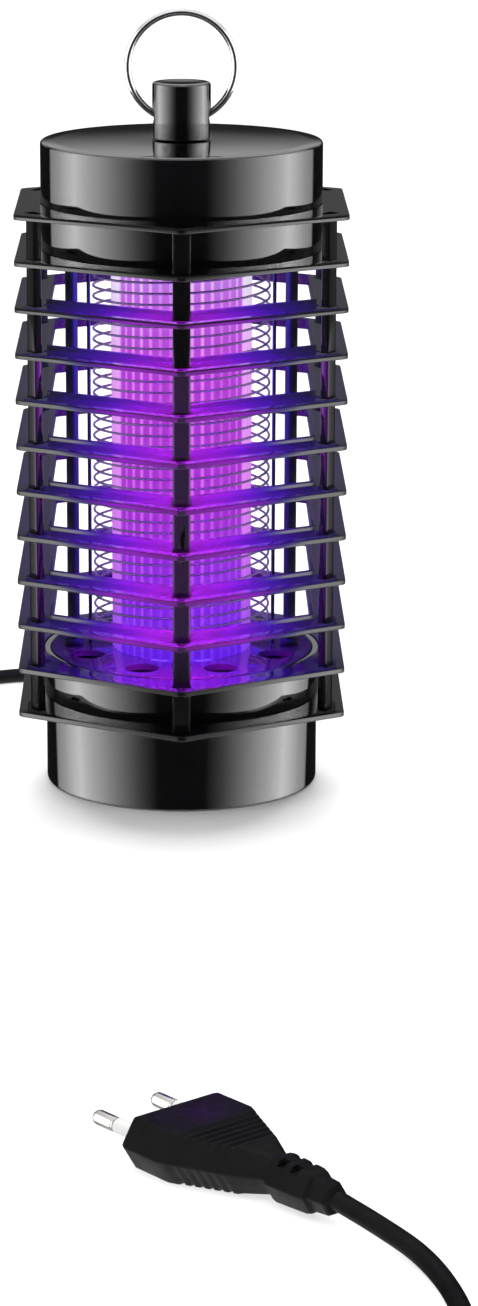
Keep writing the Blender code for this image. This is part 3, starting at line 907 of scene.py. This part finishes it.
def make_hanger():
    """The post on the cap and the wire ring that swings in its cross bore."""
    radius = POST_HIGH.x
    top = POST_HIGH.z
    low = POST_LOW.z
    profile = [
        (0, top - 0.15 * MM),
        (radius - 2.5 * MM, top, 2 * MM),
        (radius, top, 0.9 * MM),
        (radius, low, 0.3 * MM),
        (1.7 * MM, low),
        (1.7 * MM, low + 3 * MM),
        (0, low + 3 * MM),
    ]
    post = lathe(filleted(profile, steps=6), 72)
    reach = Vector((1.5 * radius, 0, 0))
    axis = Vector((0, 0, frame_axis("ring_swing")))
    post = carved(post, cylinder(3 * MM, axis - reach, axis + reach))
    add_piece("hang_post", post, "gloss_black", "root", ["hanger_post"])

    wire_diameter = RING_HIGH.y - RING_LOW.y
    ring_radius = (RING_HIGH.x - RING_LOW.x - wire_diameter) / 2
    centre = (RING_LOW.z + RING_HIGH.z) / 2
    joint = 0.4 / (ring_radius / MM)
    count = 120
    points = []
    for i in range(count + 1):
        angle = -pi / 2 + joint / 2 + (2 * pi - joint) * i / count
        points.append((ring_radius * cos(angle), 0, centre + ring_radius * sin(angle)))
    curve = wire(points, wire_diameter, resolution=6)
    add_piece("hang_wire", curve, "chrome", "hang_ring", ["hang_ring"])


def frame_axis(joint):
    """The height of a joint's axis."""
    found = [j for j in frame["joints"] if j["name"] == joint][0]
    return found["pos_m"][2]


# ---------------------------------------------------------------- light and grid


def make_light():
    """The fluted tube and the diodes that shine down into it."""
    radius = TUBE_HIGH.x
    depth = 0.5 * MM
    per_flute = 8
    outer = []
    inner = []
    for i in range(FLUTES * per_flute):
        angle = 2 * pi * i / (FLUTES * per_flute)
        wave = 0.5 - 0.5 * cos(FLUTES * (pi / 2 - angle))
        outer.append(Vector((cos(angle), sin(angle))) * (radius - depth * wave))
        inner.append(Vector((cos(angle), sin(angle))) * (radius - GUIDE_WALL))
    low = TUBE_LOW.z
    high = TUBE_HIGH.z
    loops = [[(*p, z) for p in outline] for outline, z in ((outer, high), (outer, low))]
    loops += [[(*p, z) for p in outline] for outline, z in ((inner, low), (inner, high))]
    tube = lofted(loops, ring=True)
    add_piece("light_tube", tube, "frosted_tube", "root", ["light_guide"], sharp=60)

    for i, (x, y, _) in enumerate(around(LED_DISTANCE, 4, pi / 4), 1):
        node = f"uv_led_{i}"
        low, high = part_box(node)
        rim = (high.x - low.x) / 2
        lens = rim - 0.35 * MM
        profile = [
            (0, high.z),
            (rim, high.z, 0.1 * MM),
            (rim, high.z - MM, 0.1 * MM),
            (lens, high.z - MM),
            (lens, low.z, lens * 0.95),
            (0, low.z),
        ]
        mesh = lathe(filleted(profile, steps=8), 32)
        place = Matrix.Translation((x, y, 0))
        add_piece(f"diode_{i}", mesh, "led_clear", "root", [node], place)


def make_grid():
    """The two windings, the thin stays that carry them, and the posts that join the decks."""
    bottom = TUBE_LOW.z
    top = TUBE_HIGH.z
    height = WINDING_TURNS * WINDING_PITCH + WINDING_PITCH / 2
    start = (bottom + top - height) / 2
    steps = 40
    for name, rise in (("a", 0), ("b", WINDING_PITCH / 2)):
        points = []
        for i in range(WINDING_TURNS * steps + 1):
            angle = 2 * pi * i / steps
            z = start + rise + WINDING_PITCH * i / steps
            points.append((WINDING_RADIUS * cos(angle), WINDING_RADIUS * sin(angle), z))
        curve = wire(points, WIRE_DIAMETER, resolution=2)
        add_piece(f"winding_{name}", curve, "wire_steel", "root", [f"hv_winding_{name}"])
    for i, (x, y, _) in enumerate(around(STAY_DISTANCE, 4), 1):
        profile = [(0, top), (0.6 * MM, top, 0.1 * MM), (0.6 * MM, bottom, 0.1 * MM), (0, bottom)]
        mesh = lathe(filleted(profile), 20)
        add_piece(
            f"stay_{i}", mesh, "satin_black", "root", [f"grid_stay_{i}"], Matrix.Translation((x, y, 0))
        )
    socket = 3 * MM
    for i, (x, y, _) in enumerate(around(GRID_POST_DISTANCE, 4), 1):
        profile = [
            (0, top),
            (socket, top, 0.3 * MM),
            (socket, top - 1.5 * MM, 0.4 * MM),
            (2 * MM, top - 2 * MM, 0.4 * MM),
            (2 * MM, bottom + 2 * MM, 0.4 * MM),
            (socket, bottom + 1.5 * MM, 0.4 * MM),
            (socket, bottom, 0.3 * MM),
            (0, bottom),
        ]
        mesh = lathe(filleted(profile), 32)
        add_piece(
            f"spacer_{i}", mesh, "satin_black", "root", [f"grid_post_{i}"], Matrix.Translation((x, y, 0))
        )


def finish_inner_parts():
    """Gives each CAD node that stays its own material."""
    slots = {
        "top_deck": "satin_black",
        "circuit_board": "board_green",
        "led_board": "board_green",
        "dropper_capacitor": "capacitor_yellow",
        "hv_capacitor_1": "capacitor_red",
        "hv_capacitor_2": "capacitor_red",
        "fuse": "fuse_glass",
        "board_screw_1": "wire_steel",
        "board_screw_2": "wire_steel",
        "hanger_screw": "wire_steel",
    }
    for node, slot in slots.items():
        obj = frame["nodes"][node]
        obj.data.materials.clear()
        obj.data.materials.append(MATERIALS[slot])


make_cage()
make_cap()
make_collar()
make_bottom_deck()
make_tray()
make_hanger()
make_light()
make_grid()
finish_inner_parts()


# ---------------------------------------------------------------- studio


def direction_parts(nodes, direction):
    """How far a direction turns from the front (1) to the back (0), and its height (-1 to 1)."""
    axes = nodes.add("ShaderNodeSeparateXYZ")
    nodes.link(direction, axes.inputs[0])
    _, y, z = axes.outputs
    flat = nodes.math("SQRT", nodes.math("SUBTRACT", 1.0, nodes.math("MULTIPLY", z, z)))
    front = nodes.math("DIVIDE", y, nodes.math("MAXIMUM", flat, 0.001))
    return nodes.math("SUBTRACT", 0.5, nodes.math("MULTIPLY", front, 0.5)), z


def make_world():
    """White to the camera, and a soft studio to everything else."""
    world = bpy.data.worlds.new("Studio")
    bpy.context.scene.world = world
    world.use_nodes = True
    nodes = Nodes(world.node_tree)
    world.node_tree.nodes.clear()
    direction = nodes.add("ShaderNodeTexCoord").outputs["Generated"]
    turn, height = direction_parts(nodes, direction)
    walls = nodes.ramp(
        turn,
        (
            (0.0, grey(0.02)),
            (0.15, grey(0.03)),
            (0.20, grey(0.10)),
            (0.66, grey(0.12)),
            (0.90, grey(0.05)),
            (1.0, grey(0.02)),
        ),
    )
    above = nodes.spread(height, -0.02, 0.08)
    behind = nodes.spread(turn, 0.13, 0.17, 1.0, 0.0)
    unlit = nodes.math("MULTIPLY", behind, nodes.math("SUBTRACT", 1.0, above))
    walls = nodes.mix(unlit, walls, grey(0.01))
    ceiling = nodes.spread(height, 0.35, 0.75, smooth=True)
    around_it = nodes.mix(ceiling, walls, grey(0.2))
    ground = nodes.spread(height, -0.75, -0.4, 1.0, 0.0, smooth=True)
    around_it = nodes.mix(ground, around_it, grey(0.7))
    rays = nodes.add("ShaderNodeLightPath").outputs
    overhead = nodes.mix(ceiling, around_it, grey(1.7))
    around_it = nodes.mix(rays["Is Diffuse Ray"], around_it, overhead)
    background = nodes.add("ShaderNodeBackground")
    seen = nodes.mix(rays["Is Camera Ray"], around_it, grey(1.0))
    nodes.link(seen, background.inputs["Color"])
    output = nodes.add("ShaderNodeOutputWorld")
    nodes.link(background.outputs[0], output.inputs["Surface"])


def add_soft_box(name, radius, height, panel, strength, pieces):
    """A ball of soft light round a height on the axis, which only the given pieces mirror.

    panel makes its colour from the nodes, the turn from the back to the front and the height.
    """
    made = bpy.data.materials.new(name)
    made.use_nodes = True
    made.cycles.emission_sampling = "NONE"
    nodes = Nodes(made.node_tree)
    made.node_tree.nodes.clear()
    place = nodes.add("ShaderNodeTexCoord").outputs["Object"]
    unit = nodes.add("ShaderNodeVectorMath", operation="NORMALIZE")
    nodes.link(place, unit.inputs[0])
    emission = nodes.add("ShaderNodeEmission")
    nodes.link(panel(nodes, *direction_parts(nodes, unit.outputs[0])), emission.inputs["Color"])
    emission.inputs["Strength"].default_value = strength
    through = nodes.add("ShaderNodeBsdfTransparent")
    both = nodes.add("ShaderNodeAddShader")
    nodes.link(emission.outputs[0], both.inputs[0])
    nodes.link(through.outputs[0], both.inputs[1])
    output = nodes.add("ShaderNodeOutputMaterial")
    nodes.link(both.outputs[0], output.inputs["Surface"])

    bm = bmesh.new()
    bmesh.ops.create_uvsphere(bm, u_segments=64, v_segments=32, radius=radius)
    dome = bpy.data.objects.new(name, mesh_of(bm))
    dome.data.shade_smooth()
    dome.data.materials.append(made)
    bpy.context.scene.collection.objects.link(dome)
    dome.location.z = height
    dome.visible_camera = False
    dome.visible_diffuse = False
    dome.visible_transmission = False
    dome.visible_shadow = False
    dome.light_linking.receiver_collection = gathered(name, pieces)


def housing_panel(nodes, turn, height):
    """Bright left and right, brighter upwards behind the lamp, and a soft ceiling."""
    stops = (
        (0.145, 0.0),
        (0.165, 0.16),
        (0.196, 0.20),
        (0.262, 0.33),
        (0.33, 0.56),
        (0.448, 1.0),
        (0.663, 0.66),
        (0.80, 0.36),
        (0.91, 0.10),
        (0.97, 0.0),
    )
    sides = nodes.ramp(turn, [(at, grey(value)) for at, value in stops])
    tall = nodes.spread(nodes.math("ABSOLUTE", height), 0.45, 0.6, 1.0, 0.0, smooth=True)
    behind = nodes.spread(turn, 0.02, 0.10, 1.0, 0.0)
    rising = nodes.spread(height, 0.10, 0.17, 0.0, 0.093, smooth=True)
    back = nodes.math("MULTIPLY", behind, rising)
    ceiling = nodes.spread(height, 0.35, 0.75, 0.0, 0.24, smooth=True)
    back = nodes.math("ADD", back, ceiling)
    return nodes.math("ADD", nodes.math("MULTIPLY", sides, tall), back)


def faint_back(nodes, turn):
    """What the plates' top faces mirror: a faint grey behind the lamp."""
    return nodes.ramp(turn, ((0.0, grey(0.010)), (0.12, grey(0.008)), (0.20, grey(0.0))))


def closed_plate_panel(nodes, turn, height):
    """White at the cage's sides, fading to grey at its front, and dark above and far below."""
    side = nodes.ramp(
        turn,
        (
            (0.0, grey(0.014)),
            (0.12, grey(0.012)),
            (0.20, grey(0.0)),
            (0.30, grey(0.03)),
            (0.60, grey(0.25)),
            (0.72, grey(0.42)),
            (0.75, grey(0.35)),
            (0.81, grey(0.06)),
            (0.90, grey(0.0)),
        ),
    )
    above = nodes.spread(height, 0.09, 0.11)
    below = nodes.spread(height, -0.60, -0.50)
    return nodes.mix(below, grey(0.0), nodes.mix(above, side, faint_back(nodes, turn)))


def open_plate_panel(nodes, turn, height):
    """White at the cage's sides and violet towards its front, and dark above and far below."""
    side = nodes.ramp(
        turn,
        (
            (0.0, (0.009, 0.008, 0.016, 1)),
            (0.12, (0.007, 0.006, 0.014, 1)),
            (0.20, grey(0.0)),
            (0.30, grey(0.02)),
            (0.60, grey(0.18)),
            (0.741, grey(0.34)),
            (0.750, (0.15, 0.13, 0.36, 1)),
            (0.760, (0.05, 0.02, 0.36, 1)),
            (0.780, (0.42, 0.01, 0.90, 1)),
            (0.796, (0.50, 0.01, 0.90, 1)),
            (0.81, (0.35, 0.01, 0.6, 1)),
            (0.90, (0.04, 0.01, 0.08, 1)),
            (1.0, (0.05, 0.02, 0.08, 1)),
        ),
    )
    above = nodes.spread(height, 0.0, 0.02)
    below = nodes.spread(height, -0.50, -0.42)
    return nodes.mix(below, grey(0.0), nodes.mix(above, side, faint_back(nodes, turn)))


def gathered(name, pieces):
    """A collection that lights and soft boxes are linked to."""
    made = bpy.data.collections.new(name)
    for piece in pieces:
        made.objects.link(piece)
    return made


def pieces_named(*starts):
    return [obj for obj in bpy.context.scene.objects if obj.name.startswith(starts)]


def winding_panel(nodes, turn, height):
    """Lilac from all round, as the wires stand in the light themselves."""
    share = nodes.spread(turn, 0.0, 1.0)
    return nodes.mix(share, (0.45, 0.30, 0.75, 1), (0.42, 0.16, 0.65, 1))


def make_soft_boxes():
    """What the glossy housing, the pins, the plates, the ribs and the windings mirror."""
    housing = pieces_named("cap_shell", "collar_shell", "tray_cup", "hang_post", "hang_wire", "pin_tip")
    add_soft_box("Housing panels", 8, BODY_HEIGHT, housing_panel, 4.4, housing)
    shut = pieces_named(*[f"louvre_plate_{i:02d}" for i in CLOSED_RINGS])
    cage = [piece for piece in pieces_named("louvre_plate", "upright_rib") if piece not in shut]
    middle = (TUBE_LOW.z + TUBE_HIGH.z) / 2
    strength = 6.5
    add_soft_box("Closed plate panels", 0.41, middle, closed_plate_panel, strength, shut)
    add_soft_box("Open plate panels", 0.4, middle, open_plate_panel, strength, cage)
    add_soft_box("Winding panel", 1, middle, winding_panel, 1.0, pieces_named("winding"))


def make_slot_glow():
    """Light that spills over each lip onto the plate below: violet in front, blue at the sides."""
    made = bpy.data.materials.new("Slot glow")
    made.use_nodes = True
    nodes = Nodes(made.node_tree)
    made.node_tree.nodes.clear()
    axes = nodes.add("ShaderNodeSeparateXYZ")
    nodes.link(nodes.add("ShaderNodeTexCoord").outputs["Object"], axes.inputs[0])
    across = nodes.math("ABSOLUTE", nodes.math("DIVIDE", axes.outputs[0], CAGE_HALF_WIDTH))
    color = nodes.ramp(
        across,
        (
            (0.0, (0.62, 0.010, 1.0, 1)),
            (0.15, (0.55, 0.010, 1.0, 1)),
            (0.29, (0.25, 0.005, 0.75, 1)),
            (0.36, (0.12, 0.003, 0.6, 1)),
            (0.46, (0.05, 0.002, 0.8, 1)),
            (0.55, (0.02, 0.001, 0.35, 1)),
            (0.62, (0.008, 0.003, 0.12, 1)),
            (0.72, (0.006, 0.005, 0.05, 1)),
            (0.95, (0.006, 0.005, 0.03, 1)),
        ),
    )
    emission = nodes.add("ShaderNodeEmission")
    nodes.link(color, emission.inputs["Color"])
    emission.inputs["Strength"].default_value = 520
    output = nodes.add("ShaderNodeOutputMaterial")
    nodes.link(emission.outputs[0], output.inputs["Surface"])

    bm = bmesh.new()
    lip = CAGE_HALF_WIDTH - PLATE_LAND + LIP_THICKNESS
    for i in range(CLOSED_RINGS[1], CLOSED_RINGS[2]):
        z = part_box(f"louvre_ring_{i:02d}")[0].z - MM
        loops = []
        for half_width in (lip + MM, CAGE_HALF_WIDTH - MM):
            outline = rounded_hexagon(half_width, PLATE_CORNER / 2, 1)
            loops.append([bm.verts.new((*point, z)) for point in outline])
        inner, outer = loops
        for j in range(len(inner)):
            k = (j + 1) % len(inner)
            bm.faces.new((inner[j], inner[k], outer[k], outer[j]))
    glow = bpy.data.objects.new("slot_glow", mesh_of(bm))
    glow.data.materials.append(made)
    bpy.context.scene.collection.objects.link(glow)
    glow.visible_camera = False
    glow.visible_glossy = False
    glow.visible_transmission = False
    glow.visible_shadow = False
    near = pieces_named("louvre_plate", "drop_deck")
    glow.light_linking.receiver_collection = gathered("Lit in the slots", near)


def make_floor():
    """A floor that the lights bring to white, apart from the lamp's shadow."""
    made = bpy.data.materials.new("Floor")
    made.use_nodes = True
    nodes = Nodes(made.node_tree)
    shader = made.node_tree.nodes["Principled BSDF"]
    place = nodes.add("ShaderNodeTexCoord").outputs["Object"]
    tone = nodes.mix(nodes.noise(place, 3), grey(0.60), grey(0.61))
    nodes.link(tone, shader.inputs["Base Color"])
    shader.inputs["Roughness"].default_value = 0.4
    bm = bmesh.new()
    bmesh.ops.create_grid(bm, x_segments=1, y_segments=1, size=20)
    floor = bpy.data.objects.new("floor", mesh_of(bm))
    floor.data.materials.append(made)
    bpy.context.scene.collection.objects.link(floor)
    floor.visible_glossy = False
    floor.visible_shadow = False


def add_light(name, kind, place, energy, color, size):
    data = bpy.data.lights.new(name, kind)
    data.energy = energy
    data.color = color
    lamp = bpy.data.objects.new(name, data)
    bpy.context.scene.collection.objects.link(lamp)
    lamp.location = place
    if kind in ("AREA", "SUN"):
        setattr(data, "size" if kind == "AREA" else "angle", size)
        lamp.rotation_euler = (-Vector(place)).to_track_quat("-Z", "Y").to_euler()
    else:
        data.shadow_soft_size = size
    return lamp


def make_lights():
    """Soft light from above, a sun for the floor alone, and the glow inside the cage."""
    key = add_light("Key", "AREA", (-0.7, -0.9, 1.6), 9, (1, 1, 1), 1.0)
    key.visible_camera = False
    key.visible_glossy = False
    back = add_light("Floor sun", "SUN", (0, 1.4, 1.0), 7.0, (1, 1, 1), radians(50))
    back.visible_glossy = False
    back.light_linking.receiver_collection = gathered("Floor only", pieces_named("floor"))
    back.light_linking.blocker_collection = gathered("Foot's shadow", pieces_named("tray_cup"))
    tube = bpy.data.objects["light_tube"]
    tube.visible_shadow = False
    beside = pieces_named("plug", "pin_", "mains", "relief", "floor")
    inside = [obj for obj in bpy.context.scene.objects if obj not in beside]
    tube.light_linking.receiver_collection = gathered("Lit by the tube", inside)
    near = pieces_named("louvre_plate", "upright_rib", "spacer", "stay", "drop_deck")
    lit = gathered("Lit by the glow", near)
    count = 7
    for i in range(count):
        share = i / (count - 1)
        z = TUBE_LOW.z + 8 * MM + (TUBE_HIGH.z - TUBE_LOW.z - 16 * MM) * share
        energy = 0.12 + 0.5 * share**2
        glow = add_light(f"Glow {i}", "POINT", (0, 0, z), energy, (0.04, 0.02, 1.0), 12 * MM)
        glow.data.specular_factor = 0.0
        glow.visible_camera = False
        glow.light_linking.receiver_collection = lit


make_world()
make_soft_boxes()
make_slot_glow()
make_floor()
make_lights()
bpy.context.scene.view_settings.view_transform = "Standard"
